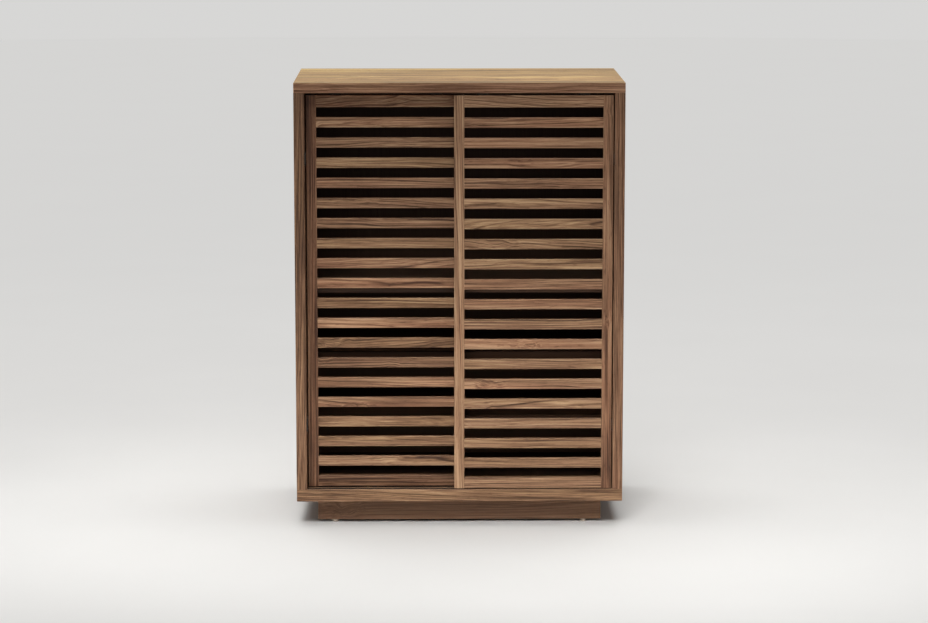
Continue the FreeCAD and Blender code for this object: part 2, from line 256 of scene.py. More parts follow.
# each ring's late wood deepens and stops, as shares of the ring, and some years are weak
RING_UNEVENNESS = 0.55
LATE_DEEPENS = (0.50, 0.88)
LATE_STOPS = (0.89, 1.0)
YEAR_LUCK = (0.15, 1.0)
YEAR_STRENGTH = (0.1, 1.0)
ROUND_THE_RING = 0.25

# how much each pattern lightens or darkens the wood, of the whole way from dark to pale
LIGHTENS = {"streaks": 0.65, "fibres": 0.40, "lines": 1.20, "threads": 1.20}
DARKENS = {"late wood": 0.40, "pores": 0.24, "flecks": 0.16, "knots": 0.08}
TONE_LUCK = 0.13
MIDDLE_TONE = 0.58
WALNUT_TONES = (
    (0.0, shade(62, 40, 28)), (0.28, shade(98, 69, 50)), (0.52, shade(134, 99, 74)),
    (0.76, shade(164, 127, 97)), (1.0, shade(194, 159, 124)),
)

# hues to each side of the middle one: where they are full, and how they tint the wood
HUE_LUCK = 0.72
HUE_MIDDLE = 0.50
HUE_STRENGTH = 0.55
HUES = ((0.95, (1.12, 0.95, 0.92, 1.0)), (0.10, (0.98, 1.03, 0.90, 1.0)))

# satin lacquer, rougher over fibres and pores
LACQUER_ROUGHNESS = 0.42
FIBRE_ROUGHNESS = 0.10
PORE_ROUGHNESS = 0.14
PORE_DEPTH = 1.3
LATE_DEPTH = 0.5


def laid_leaf(w, given):
    """The point within its leaf of veneer, for leaves laid side by side, and the leaf's number."""
    along, across, inward = w.split(given["Board Position"])
    leaf = w.math("ROUND", w.math("DIVIDE", across, given["Leaf Width"]))
    across = w.less(across, w.times(leaf, given["Leaf Width"]))
    number = w.plus(given["Board Number"], w.times(leaf, LEAF_STEP))
    return w.join(along, across, inward), number


def bent_grain(w, given, place, spot, knots):
    """The point moved by the slow waves of the trunk, and by the swing of the grain round a knot."""
    swing = w.scaled(wander(w, "swing", spot), w.times(knots, SWING_REACH))
    waves = w.vector("MULTIPLY", wander(w, "waves", spot), WAVE_REACH)
    waves = w.scaled(waves, given["Bend"])
    return w.vector("ADD", place, w.vector("ADD", waves, swing))


def growth_rings(w, given, bent, spot, luck):
    """Rings about a pith that lies behind the face and leans along it: late wood, and the point by them."""
    pith_across, pith_below, slope = luck
    along, across, inward = w.split(bent)
    lean = w.times(w.times(along, given["Bend"]), w.share(slope, PITH_LEAN))
    aside = w.plus(across, w.share(pith_across, PITH_ASIDE), lean)
    depth = w.math("MULTIPLY_ADD", pith_below, PITH_DEPTHS, PITH_NEAREST)
    behind = w.plus(inward, depth, lean)
    radius = w.vector("LENGTH", w.join(aside, behind, 0.0))
    rings = w.math("DIVIDE", radius, given["Ring Width"])
    rings = w.plus(rings, w.share(pattern(w, "uneven rings", spot), RING_UNEVENNESS))
    part = w.math("FRACT", rings)
    late = w.times(w.between(part, *LATE_DEEPENS), w.between(part, *LATE_STOPS, 1.0, 0.0))
    year = w.chance(w.math("FLOOR", rings))[0]
    late = w.times(late, w.between(year, *YEAR_LUCK, *YEAR_STRENGTH))
    return late, w.join(along, radius, w.times(aside, ROUND_THE_RING))


def walnut_colour(w, light, hue):
    """The wood's colour by how light it is, and redder or greener by its hue."""
    colour = w.ramp(light, WALNUT_TONES)
    for full, hue_tint in HUES:
        amount = w.between(hue, HUE_MIDDLE, full, 0.0, HUE_STRENGTH)
        colour = w.tint(amount, colour, hue_tint, "MULTIPLY")
    return colour


def make_walnut_figure():
    """Rings, streaks, curl and pores of a walnut board, with its grain along X and its width along Y."""
    group, w, given, results = start_group(
        "Walnut Figure",
        {
            "Board Position": Vector((0, 0, 0)), "Board Number": 0.0, "Leaf Width": SOLID_WOOD,
            "Ring Width": 0.0040, "Bend": 1.0, "Curl": 0.5, "Drift": 0.45, "Tone": 0.0,
            "Contrast": 1.0, "Painted Light Tint": WHITE,
        },
        SURFACE,
    )
    place, number = laid_leaf(w, given)
    tone_luck, hue_luck, curl_luck = w.chance(w.plus(number, LUCK_STEP))
    spot = w.vector("ADD", place, w.scaled(TREE_STEP, number))
    knots = w.times(marks(w, "knots", spot), w.times(given["Curl"], curl_luck))
    bent = bent_grain(w, given, place, spot, knots)
    late, ringed = growth_rings(w, given, bent, spot, w.chance(number))

    # streaks, lines and flecks follow the rings, so they arch and run out as the board was cut
    light = w.share(pattern(w, "drift", spot), given["Drift"])
    fibres = pattern(w, "fibres", spot)
    for name, level in (
        ("streaks", pattern(w, "streaks", ringed)), ("fibres", fibres),
        ("lines", pattern(w, "lines", ringed)), ("threads", pattern(w, "threads", bent)),
    ):
        light = w.plus(light, w.share(level, LIGHTENS[name]))
    pores = marks(w, "pores", spot)
    for name, level in (
        ("late wood", late), ("pores", pores), ("flecks", marks(w, "flecks", ringed)), ("knots", knots),
    ):
        light = w.less(light, w.times(level, DARKENS[name]))
    light = w.plus(w.times(light, given["Contrast"]), w.share(tone_luck, TONE_LUCK))
    light = w.math("ADD", light, w.plus(given["Tone"], MIDDLE_TONE), clamp=True)
    hue = w.plus(w.share(hue_luck, HUE_LUCK), pattern(w, "hue", spot))
    # the painted light tint of the board's faces multiplies the wood's colour
    colour = w.tint(1.0, walnut_colour(w, light, hue), given["Painted Light Tint"], "MULTIPLY")
    w.set(results["Colour"], colour)
    rough = w.math("MULTIPLY_ADD", fibres, FIBRE_ROUGHNESS, LACQUER_ROUGHNESS)
    w.set(results["Roughness"], w.plus(rough, w.times(pores, PORE_ROUGHNESS)))
    height = w.less(fibres, w.times(pores, PORE_DEPTH))
    w.set(results["Height"], w.less(height, w.times(late, LATE_DEPTH)))
    return group


# Other effects that several finishes share

# cosines of the turn of an edge at which the wear and painted highlight start and are full, and their
# patches
WEAR_AND_HIGHLIGHT_TURNS = (0.995, 0.86)
WEAR_AND_HIGHLIGHT_PATCHES_PER_METRE = 45.0
WEAR_AND_HIGHLIGHT_PATCHES = (0.30, 0.60, 0.5, 1.0)
BEVEL_SAMPLES = 4


def make_arris_wear_and_highlight():
    """Rubbed wear and painted highlight along an edge: one on the arris, nought on the flat."""
    group, w, given, results = start_group("Arris Wear And Highlight", {"Reach": 0.001}, {"Worn And Highlit": float})
    rounded = w.add("Bevel", {"Radius": given["Reach"]}, samples=BEVEL_SAMPLES).outputs[0]
    flat = w.add("NewGeometry").outputs["True Normal"]
    turn = w.vector("DOT_PRODUCT", rounded, flat)
    patches = w.noise(w.spot(), WEAR_AND_HIGHLIGHT_PATCHES_PER_METRE, detail=3.0)
    worn_and_highlit = w.times(w.between(turn, *WEAR_AND_HIGHLIGHT_TURNS), w.between(patches, *WEAR_AND_HIGHLIGHT_PATCHES))
    w.set(results["Worn And Highlit"], worn_and_highlit)
    return group


# heights between which the painted shade inside goes from its paler low colour to its darker high one
PAINTED_SHADE_HEIGHTS = (0.10, 0.75)


def make_painted_interior_shade():
    """Painted shade on the faces that line the compartments: where it is, and its colour."""
    group, w, given, results = start_group(
        "Painted Interior Shade",
        {
            "Low Corner": Vector((0, 0, 0)), "High Corner": Vector((1, 1, 1)),
            "Low Colour": GREY, "High Colour": GREY,
        },
        {"Inside": float, "Colour": tuple},
    )
    spot = w.split(w.spot())
    inside = 1.0
    for place, low, high in zip(spot, w.split(given["Low Corner"]), w.split(given["High Corner"])):
        within = w.times(w.math("GREATER_THAN", place, low), w.math("LESS_THAN", place, high))
        inside = w.times(within, inside)
    w.set(results["Inside"], inside)
    high_up = w.between(spot[2], *PAINTED_SHADE_HEIGHTS)
    w.set(results["Colour"], w.tint(high_up, given["Low Colour"], given["High Colour"]))
    return group


# how far the streaks of bare timber wander, in metres, the levels between which they show,
# how much the fibres shift the colour, and the roughness of the timber and of its fibres
TIMBER_WANDER = 0.02
TIMBER_STREAKS = (0.35, 0.70)
TIMBER_FIBRES = 0.5
TIMBER_ROUGHNESS = 0.56
TIMBER_FIBRE_ROUGHNESS = 0.2


def make_plain_timber():
    """Bare pale timber: straight streaks between an early and a late colour."""
    group, w, given, results = start_group(
        "Plain Timber",
        {"Board Position": Vector((0, 0, 0)), "Early Colour": GREY, "Late Colour": GREY},
        SURFACE,
    )
    spot = given["Board Position"]
    bent = w.vector("ADD", spot, w.scaled(wander(w, "timber waves", spot), TIMBER_WANDER))
    streaks = w.between(pattern(w, "timber streaks", bent), *TIMBER_STREAKS)
    fibres = pattern(w, "timber fibres", spot)
    late = w.math("ADD", streaks, w.share(fibres, TIMBER_FIBRES), clamp=True)
    w.set(results["Colour"], w.tint(late, given["Early Colour"], given["Late Colour"]))
    rough = w.math("MULTIPLY_ADD", fibres, TIMBER_FIBRE_ROUGHNESS, TIMBER_ROUGHNESS)
    w.set(results["Roughness"], rough)
    w.set(results["Height"], fibres)
    return group


# dust settles in clouds on the faces that look up, and the skin's grain shows in colour and gloss
DUSTY_FACES = (0.2, 0.9)
DUST_CLOUDS = (0.35, 0.75)
DUST_CLOUDS_PER_METRE = 60.0
SKIN_GRAIN_SHARE = 0.2
SKIN_GRAIN_ROUGHNESS = 0.10
SKIN_CLOUD_ROUGHNESS = 0.16


def make_moulded_skin():
    """The fine skin of a moulding or an extrusion, with faint cloudiness and dust."""
    group, w, given, results = start_group(
        "Moulded Skin",
        {
            "Skin Colour": GREY, "Dust Colour": GREY, "Grain Size": 0.0008, "Dust Share": 0.25,
            "Roughness": 0.5,
        },
        SURFACE,
    )
    spot = w.spot()
    grains = w.scaled(spot, w.math("DIVIDE", 1.0, given["Grain Size"]))
    grain = w.noise(grains, 1.0, roughness=0.6)
    cloud = w.noise(spot, DUST_CLOUDS_PER_METRE, detail=3.0)
    up = w.split(w.add("NewGeometry").outputs["Normal"])[2]
    settled = w.times(w.between(up, *DUSTY_FACES), w.between(cloud, *DUST_CLOUDS))
    dust = w.times(settled, given["Dust Share"])
    colour = w.tint(w.times(grain, SKIN_GRAIN_SHARE), given["Skin Colour"], given["Dust Colour"])
    w.set(results["Colour"], w.tint(dust, colour, given["Dust Colour"]))
    uneven = w.plus(w.share(cloud, SKIN_CLOUD_ROUGHNESS), w.share(grain, SKIN_GRAIN_ROUGHNESS))
    w.set(results["Roughness"], w.plus(uneven, given["Roughness"], dust))
    w.set(results["Height"], grain)
    return group


# tarnish: its colour, the dullness between which it shows, and its largest share
TARNISH = (0.30, 0.28, 0.25, 1.0)
TARNISHED = (0.3, 0.7)
TARNISH_SHARE = 0.35
DULL_ROUGHNESS = 0.35
DULL_CLOUDS_PER_METRE = 140.0


def make_drawn_metal():
    """Fine drawing marks along a metal pin, rod or screw, and a little tarnish."""
    group, w, given, results = start_group(
        "Drawn Metal",
        {"Metal Colour": GREY, "Marks Per Metre": Vector((90, 2600, 90)), "Roughness": 0.3},
        SURFACE,
    )
    spot = w.spot()
    drawn = w.noise(spot, given["Marks Per Metre"], detail=3.0, roughness=0.6)
    cloud = w.noise(spot, DULL_CLOUDS_PER_METRE)
    dull = w.times(w.plus(drawn, cloud), 0.5)
    tarnish = w.between(dull, *TARNISHED, 0.0, TARNISH_SHARE)
    w.set(results["Colour"], w.tint(tarnish, given["Metal Colour"], TARNISH))
    w.set(results["Roughness"], w.plus(w.share(dull, DULL_ROUGHNESS), given["Roughness"]))
    w.set(results["Height"], drawn)
    return group


WALNUT_FIGURE = make_walnut_figure()
ARRIS_WEAR_AND_HIGHLIGHT = make_arris_wear_and_highlight()
PAINTED_INTERIOR_SHADE = make_painted_interior_shade()
PLAIN_TIMBER = make_plain_timber()
MOULDED_SKIN = make_moulded_skin()
DRAWN_METAL = make_drawn_metal()


# Parts of a finish

# strength and depth in metres of each surface's relief
WALNUT_RELIEF = (0.22, 0.00025)
TIMBER_RELIEF = (0.3, 0.0003)
MOULDED_RELIEF = (0.25, 0.0002)
METAL_RELIEF = (0.12, 0.0001)


def spaced_words(values):
    """Sockets' names as Blender writes them, with spaces."""
    return {name.replace("_", " "): value for name, value in values.items()}


def start_finish(name, **constants):
    """A material and its Principled shader, whose even values are set on the shader itself."""
    material = bpy.data.materials.new(name)
    material.use_nodes = True
    material.node_tree.nodes.clear()
    w = Wiring(material.node_tree)
    return material, w, w.add("BsdfPrincipled", spaced_words(constants))


def finish_surface(w, shader, colour, effect, relief):
    """Link a colour, and an effect's roughness and relief, to the shader, and show it."""
    strength, depth = relief
    bump = w.add("Bump", {"Strength": strength, "Distance": depth, "Height": effect["Height"]})
    w.set(shader.inputs["Base Color"], colour)
    w.set(shader.inputs["Roughness"], effect["Roughness"])
    w.set(shader.inputs["Normal"], bump.outputs[0])
    w.set(w.add("OutputMaterial").inputs["Surface"], shader.outputs[0])


def put_on(material, nodes):
    """Give CAD nodes their finish."""
    for node in nodes:
        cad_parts[node].material_slots[0].material = material


def middle_of(node):
    """The middle of a CAD node's box."""
    low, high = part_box(node)
    return (low + high) / 2


def board_position(w, middle, order):
    """The point of a board as seen along its grain, across its face and into its thickness."""
    spot = w.vector("SUBTRACT", w.spot(), tuple(middle))
    axes = dict(zip("xyz", w.split(spot)))
    return w.join(*(axes[letter] for letter in order))


# Walnut

SATIN_SHINE = 0.28
DULL_SHINE = 0.12
# wear and painted highlight: the paler colour of the arrises, and how far and how strongly it shows
RUBBED_AND_HIGHLIT = shade(190, 154, 122)
BOARD_WEAR_AND_HIGHLIGHT = {"reach": 0.0010, "share": 0.42}
SLAT_WEAR_AND_HIGHLIGHT = {"reach": 0.0016, "share": 0.60}
STICK_STEP = 1.618

# cosines that tell a board's ends and its upper face from the rest
END_FACES = 0.7
UPPER_FACES = 0.5

# painted light: the upper face and the other faces get their own tints, yellower on the upper face and
# lighter on the rest, set by how the light falls on each
UPPER_FACE_PAINTED_LIGHT = (0.855, 0.965, 0.665, 1.0)
OTHER_FACES_PAINTED_LIGHT = (1.55, 1.58, 1.70, 1.0)

# the painted shade inside starts behind the doors, and reaches a little into the boards round the
# compartments
PAINTED_SHADE_MARGIN = 0.0006
BEHIND_DOORS = 0.001
PAINTED_SHADE_CORNERS = {
    "Low Corner": (
        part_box("side_panel_left")[1].x - PAINTED_SHADE_MARGIN,
        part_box("rear_door_left_stile")[1].y + BEHIND_DOORS,
        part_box("bottom_panel")[1].z - PAINTED_SHADE_MARGIN,
    ),
    "High Corner": (
        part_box("side_panel_right")[0].x + PAINTED_SHADE_MARGIN,
        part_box("back_panel")[0].y + PAINTED_SHADE_MARGIN,
        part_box("top_panel")[0].z + PAINTED_SHADE_MARGIN,
    ),
}
# painted shade: the darkest colour painted inside, the colours painted from low to high, and how much of
# the inside faces it covers
DARKEST_PAINTED_SHADE = (0.032, 0.0145, 0.0075, 1.0)
INTERIOR_PAINTED_SHADE = {
    **PAINTED_SHADE_CORNERS,
    "Low Colour": (0.290, 0.168, 0.110, 1.0), "High Colour": (0.036, 0.0178, 0.0112, 1.0),
}
DARK_INTERIOR_PAINTED_SHADE = {**PAINTED_SHADE_CORNERS, "Low Colour": DARKEST_PAINTED_SHADE, "High Colour": DARKEST_PAINTED_SHADE}
PAINTED_SHADE_COVER = 0.97
SHELF_PAINTED_SHADE_COVER = 0.86


def banded_position(w, position, middle):
    """On the short ends of a veneered board the band's grain runs from front to back."""
    at_end = w.math("GREATER_THAN", w.math("ABSOLUTE", w.facing(0)), END_FACES)
    return w.choose(at_end, position, board_position(w, middle, "yzx"))


def painted_light_of_top(w):
    """Painted light: a tint for the board's upper face and another for its other faces."""
    return w.tint(w.math("GREATER_THAN", w.facing(2), UPPER_FACES), OTHER_FACES_PAINTED_LIGHT, UPPER_FACE_PAINTED_LIGHT)


def rubbed_and_highlit(w, colour, wear_and_highlight):
    """A board's colour, lighter along the arrises with rubbed wear and a painted highlight."""
    worn_and_highlit = w.times(w.place(ARRIS_WEAR_AND_HIGHLIGHT, {"Reach": wear_and_highlight["reach"]})["Worn And Highlit"], wear_and_highlight["share"])
    return w.tint(worn_and_highlit, colour, RUBBED_AND_HIGHLIT)


def with_painted_shade(w, colour, painted_shade_cover, painted_shade):
    """A board's colour with painted shade over the faces behind the doors."""
    painted_shade_out = w.place(PAINTED_INTERIOR_SHADE, painted_shade)
    return w.tint(w.times(painted_shade_out["Inside"], painted_shade_cover), colour, painted_shade_out["Colour"])


def walnut_board(
    name, node, order, number, banded=False, painted_light_on_top=False, fade=0.0, shine=SATIN_SHINE,
    painted_shade_cover=0.0, painted_shade=INTERIOR_PAINTED_SHADE, **look
):
    """Finish of one walnut board. The order gives the axes along, across and into the board,
    and the number picks its figure. A fade is painted light, lighter or darker along its length."""
    material, w, shader = start_finish(name, Specular_IOR_Level=shine)
    middle = middle_of(node)
    position = board_position(w, middle, order)
    if banded:
        position = banded_position(w, position, middle)
    # painted light: the upper face and the other faces are tinted apart
    if painted_light_on_top:
        look["Painted Light Tint"] = painted_light_of_top(w)
    if fade:
        look["Tone"] = w.plus(w.times(w.split(position)[0], fade), look["Tone"])
    effect = w.place(WALNUT_FIGURE, {
        "Board Position": position, "Board Number": float(number), **spaced_words(look),
    })
    colour = rubbed_and_highlit(w, effect["Colour"], BOARD_WEAR_AND_HIGHLIGHT)
    # painted shade over the faces inside the compartments
    if painted_shade_cover:
        colour = with_painted_shade(w, colour, painted_shade_cover, painted_shade)
    finish_surface(w, shader, colour, effect, WALNUT_RELIEF)
    put_on(material, [node])


def walnut_slats(name, node, number, **look):
    """Finish of a door's slats, each cut from a different stick."""
    material, w, shader = start_finish(name, Specular_IOR_Level=SATIN_SHINE)
    low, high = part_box(node)
    pitch = (high.z - low.z - SLAT_HEIGHT) / (SLATS_PER_DOOR - 1)
    first = Vector(((low.x + high.x) / 2, (low.y + high.y) / 2, low.z + SLAT_HEIGHT / 2))
    along, up, inward = w.split(board_position(w, first, "xzy"))
    slat = w.math("ROUND", w.math("DIVIDE", up, pitch))
    across = w.less(up, w.times(slat, pitch))
    effect = w.place(WALNUT_FIGURE, {
        "Board Position": w.join(along, across, inward),
        "Board Number": w.plus(w.times(slat, STICK_STEP), float(number)), **spaced_words(look),
    })
    finish_surface(w, shader, rubbed_and_highlit(w, effect["Colour"], SLAT_WEAR_AND_HIGHLIGHT), effect, WALNUT_RELIEF)
    put_on(material, [node])


# Top, bottom, sides and back

walnut_board(
    "walnut_top", "top_panel", "xyz", 3, banded=True, painted_light_on_top=True, shine=DULL_SHINE,
    painted_shade_cover=PAINTED_SHADE_COVER, Leaf_Width=VENEER_LEAF, Curl=0.2, Drift=1.6, Tone=-0.02, Contrast=0.78,
)
walnut_board(
    "walnut_bottom", "bottom_panel", "xyz", 11, banded=True, painted_shade_cover=PAINTED_SHADE_COVER,
    painted_shade=DARK_INTERIOR_PAINTED_SHADE, Leaf_Width=VENEER_LEAF, Tone=-0.01,
)
# the sides' fades are painted light: darker towards the top and lighter towards the floor
for side, number, fade, tone in (("left", 21, -0.13, -0.095), ("right", 34, -0.07, -0.085)):
    walnut_board(
        f"walnut_{side}_side", f"side_panel_{side}", "zyx", number, fade=fade, painted_shade_cover=PAINTED_SHADE_COVER,
        Leaf_Width=VENEER_LEAF, Curl=0.3, Tone=tone, Contrast=0.85,
    )
walnut_board(
    "walnut_back", "back_panel", "zxy", 47, shine=DULL_SHINE, painted_shade_cover=PAINTED_SHADE_COVER,
    Leaf_Width=VENEER_LEAF, Contrast=0.85,
)


# Shelves: painted shade over most of the middle one, and darker painted shade over the loose ones

for shelf, number, shine, painted_shade_cover, painted_shade in (
    ("middle_shelf", 52, SATIN_SHINE, SHELF_PAINTED_SHADE_COVER, INTERIOR_PAINTED_SHADE),
    ("lower_loose_shelf", 55, DULL_SHINE, PAINTED_SHADE_COVER, DARK_INTERIOR_PAINTED_SHADE),
    ("upper_loose_shelf", 58, DULL_SHINE, PAINTED_SHADE_COVER, DARK_INTERIOR_PAINTED_SHADE),
):
    walnut_board(
        f"walnut_{shelf}", shelf, "xyz", number, shine=shine, painted_shade_cover=painted_shade_cover, painted_shade=painted_shade,
        Leaf_Width=VENEER_LEAF,
    )


# Plinth

for board, order, number in (
    ("plinth_front", "xzy", 63), ("plinth_back", "xzy", 68),
    ("plinth_left", "yzx", 74), ("plinth_right", "yzx", 79),
):
    # the plinth's lower tone is painted shade, for the shade under the carcass above it
    walnut_board(f"walnut_{board}", board, order, number, Contrast=0.50, Curl=1.0, Tone=-0.08)


# Doors: each part's axes and the bend of its grain, and its number, tone and fade in each door.
# The fades are painted light along the part, and the tones are partly the wood's and partly painted light
# and shade.

DOOR_PARTS = (
    ("left_stile", "zxy", 0.25, (85, 125), (0.19, -0.22), (-0.20, -0.28)),
    ("right_stile", "zxy", 0.25, (92, 132), (-0.13, 0.0), (0.12, -0.12)),
    ("top_rail", "xzy", 1.5, (99, 139), (0.07, 0.08), (0.0, 0.0)),
    ("bottom_rail", "xzy", 0.6, (106, 146), (0.06, -0.15), (0.0, 0.0)),
)
SLAT_NUMBERS = (160, 232)

for at, door in enumerate(DOORS):
    for part, order, bend, numbers, tones, fades in DOOR_PARTS:
        walnut_board(
            f"walnut_{door}_{part}", f"{door}_{part}", order, numbers[at], fade=fades[at],
            Bend=bend, Tone=tones[at],
        )
    walnut_slats(f"walnut_{door}_slats", f"{door}_slats", SLAT_NUMBERS[at], Tone=0.07)


# Bare timber, mouldings and metal

TIMBER_SHINE = 0.3
GREY_DUST = shade(120, 114, 104)


def timber(name, node, order, early, late):
    """Finish of a bare timber piece."""
    material, w, shader = start_finish(name, Specular_IOR_Level=TIMBER_SHINE)
    effect = w.place(PLAIN_TIMBER, {
        "Board Position": board_position(w, middle_of(node), order),
        "Early Colour": early, "Late Colour": late,
    })
    finish_surface(w, shader, effect["Colour"], effect, TIMBER_RELIEF)
    put_on(material, [node])


def moulded(name, nodes, colour, roughness, grain, dust_share, shine=0.4, dust=GREY_DUST):
    """Finish of plastic or rubber pieces."""
    material, w, shader = start_finish(name, Specular_IOR_Level=shine)
    effect = w.place(MOULDED_SKIN, {
        "Skin Colour": colour, "Dust Colour": dust, "Roughness": roughness,
        "Grain Size": grain, "Dust Share": dust_share,
    })
    finish_surface(w, shader, effect["Colour"], effect, MOULDED_RELIEF)
    put_on(material, nodes)


def metal(name, nodes, colour, marks_per_metre, roughness):
    """Finish of metal pieces."""
    material, w, shader = start_finish(name, Metallic=1.0)
    effect = w.place(DRAWN_METAL, {
        "Metal Colour": colour, "Marks Per Metre": marks_per_metre, "Roughness": roughness,
    })
    finish_surface(w, shader, effect["Colour"], effect, METAL_RELIEF)
    put_on(material, nodes)
    return material


timber("beech_tenons", "board_tenons", "zyx", shade(214, 186, 150), shade(186, 152, 114))
timber("softwood_brace", "plinth_brace", "yzx", shade(212, 182, 138), shade(176, 134, 88))
timber("softwood_blocks", "plinth_corner_blocks", "xzy", shade(214, 184, 140), shade(172, 130, 84))

moulded(
    "black_track",
    [f"{run}_{level}_track" for level in ("bottom", "top") for run in ("front", "rear")],
    shade(20, 17, 15), roughness=0.6, grain=0.0008, dust_share=0.04, shine=0.15,
)
moulded(
    "black_nylon", [f"{door}_{part}" for door in DOORS for part in ("roller_housings", "top_guides")],
    shade(24, 22, 20), roughness=0.55, grain=0.0006, dust_share=0.05, shine=0.18,
)
moulded(
    "wheel_nylon", [f"{door}_{side}_wheel" for door in DOORS for side in ("left", "right")],
    shade(38, 36, 34), roughness=0.4, grain=0.0005, dust_share=0.3, shine=0.3,
)
moulded(
    "glide_nylon", ["glides"],
    shade(192, 176, 160), roughness=0.45, grain=0.0007, dust_share=0.3, dust=shade(140, 128, 110),
)
moulded(
    "bumper_rubber", ["door_bumpers"],
    shade(34, 32, 31), roughness=0.75, grain=0.0011, dust_share=0.4,
)
metal(
    "axle_steel", [f"{door}_wheel_axles" for door in DOORS],
    (0.52, 0.52, 0.53, 1.0), marks_per_metre=(90.0, 2600.0, 90.0), roughness=0.28,
)
metal(
    "nickel_pins", ["shelf_pins"],
    (0.60, 0.57, 0.52, 1.0), marks_per_metre=(2400.0, 120.0, 120.0), roughness=0.26,
)
zinc = metal(
    "zinc_screws", [],
    (0.52, 0.50, 0.44, 1.0), marks_per_metre=(160.0, 160.0, 160.0), roughness=0.34,
)


# Small screws of the back panel and of the plinth's corner blocks

SCREW_RADIUS = 0.0035
SCREW_SIDES = 24
# shares of the radius, and heights in metres, from the top of the head to just under its seat
SCREW_PROFILE = ((0.0, 0.0020), (0.45, 0.0019), (0.75, 0.0015), (0.94, 0.0008), (1.0, 0.0), (0.98, -0.0002))
SCREW_TOP = SCREW_PROFILE[0][1]
RECESS_REACH = 0.0019
RECESS_HALF_WIDTH = 0.00045
RECESS_DEPTH = 0.0013
RECESS_TAPER = 0.6
RECESS_CLEAR = 0.001
SCREW_INSET = 0.0045
BLOCK_SCREW_INSET = 0.014
SCREW_SPACING = 0.175
# cosine above which a face lies flat and is shaded as flat
FLAT_FACES = 0.999


def mesh_from(shell, name):
    """A mesh of what was built in a bmesh, which is then freed."""
    mesh = bpy.data.meshes.new(name)
    shell.to_mesh(mesh)
    shell.free()
    return mesh


def shown(name, data):
    """A new object in the scene, from its mesh, lamp or camera."""
    made = bpy.data.objects.new(name, data)
    bpy.context.scene.collection.objects.link(made)
    return made


def make_dome():
    """The domed head without its recess."""
    shell = bmesh.new()
    tip = shell.verts.new((0.0, 0.0, SCREW_TOP))
    rings = []
    for share, height in SCREW_PROFILE[1:]:
        ring = []
        for step in range(SCREW_SIDES):
            turn = 2 * math.pi * step / SCREW_SIDES
            radius = share * SCREW_RADIUS
            ring.append(shell.verts.new((radius * math.cos(turn), radius * math.sin(turn), height)))
        rings.append(ring)
    for step in range(SCREW_SIDES):
        after = (step + 1) % SCREW_SIDES
        shell.faces.new((tip, rings[0][step], rings[0][after]))
        for inner, outer in zip(rings, rings[1:]):
            shell.faces.new((inner[step], outer[step], outer[after], inner[after]))
    shell.faces.new(list(reversed(rings[-1])))
    return mesh_from(shell, "screw_dome")


def make_cross():
    """The cross that cuts the recess, tapered to the recess's floor."""
    long, wide = RECESS_REACH, RECESS_HALF_WIDTH
    corners = (
        (long, -wide), (long, wide), (wide, wide), (wide, long), (-wide, long), (-wide, wide),
        (-long, wide), (-long, -wide), (-wide, -wide), (-wide, -long), (wide, -long), (wide, -wide),
    )
    floor_height = SCREW_TOP - RECESS_DEPTH
    shell = bmesh.new()
    lower = [shell.verts.new((x * RECESS_TAPER, y * RECESS_TAPER, floor_height)) for x, y in corners]
    upper = [shell.verts.new((x, y, SCREW_TOP + RECESS_CLEAR)) for x, y in corners]
    shell.faces.new(list(reversed(lower)))
    shell.faces.new(upper)
    for step in range(len(corners)):
        after = (step + 1) % len(corners)
        shell.faces.new((lower[step], lower[after], upper[after], upper[step]))
    return mesh_from(shell, "screw_cross")


def make_screw_head():
    """A pan head that faces +Z, with its cross recess cut in."""
    dome = shown("screw_dome", make_dome())
    cross = shown("screw_cross", make_cross())
    cut = dome.modifiers.new("recess", "BOOLEAN")
    cut.operation = "DIFFERENCE"
    cut.solver = "EXACT"
    cut.object = cross
    bpy.context.view_layer.update()
    finished = bpy.data.meshes.new_from_object(dome.evaluated_get(bpy.context.evaluated_depsgraph_get()))
    for tool in (dome, cross):
        bpy.data.objects.remove(tool)
    return finished


def place_screws(name, head, places, facing, luck):
    """Screw heads at their places as one mesh, each turned as the driver left it."""
    joined = bmesh.new()
    upright = Vector(facing).to_track_quat("Z", "Y").to_matrix().to_4x4()
    for place in places:
        turn = Matrix.Rotation(luck.uniform(0, math.pi / 2), 4, "Z")
        fresh = bmesh.new()
        fresh.from_mesh(head)
        fresh.transform(Matrix.Translation(place) @ upright @ turn)
        screw = mesh_from(fresh, "screw")
        joined.from_mesh(screw)
        bpy.data.meshes.remove(screw)
    mesh = mesh_from(joined, name)
    mesh.materials.clear()
    mesh.materials.append(zinc)
    for face in mesh.polygons:
        face.use_smooth = abs(face.normal.dot(Vector(facing))) < FLAT_FACES
    screws = shown(name, mesh)
    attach(screws, "carcass")


def spaced(low, high):
    """Places from low to high, a screw's spacing apart as nearly as they come out even."""
    spaces = round((high - low) / SCREW_SPACING)
    return [low + (high - low) * step / spaces for step in range(spaces + 1)]


def back_screw_places():
    """Screws round the panel's rim, and a row into the middle shelf."""
    low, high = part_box("back_panel")
    left, right = low.x + SCREW_INSET, high.x - SCREW_INSET
    bottom, top = low.z + SCREW_INSET, high.z - SCREW_INSET
    places = [(x, high.y, z) for x in (left, right) for z in spaced(bottom, top)]
    for z in (bottom, top, middle_of("middle_shelf").z):
        places += [(x, high.y, z) for x in spaced(left, right)[1:-1]]
    return places


def block_screw_places():
    """A screw through each corner block of the plinth."""
    low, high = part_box("plinth_corner_blocks")
    across = (low.x + BLOCK_SCREW_INSET, high.x - BLOCK_SCREW_INSET)
    inward = (low.y + BLOCK_SCREW_INSET, high.y - BLOCK_SCREW_INSET)
    return [(x, y, low.z) for x in across for y in inward]


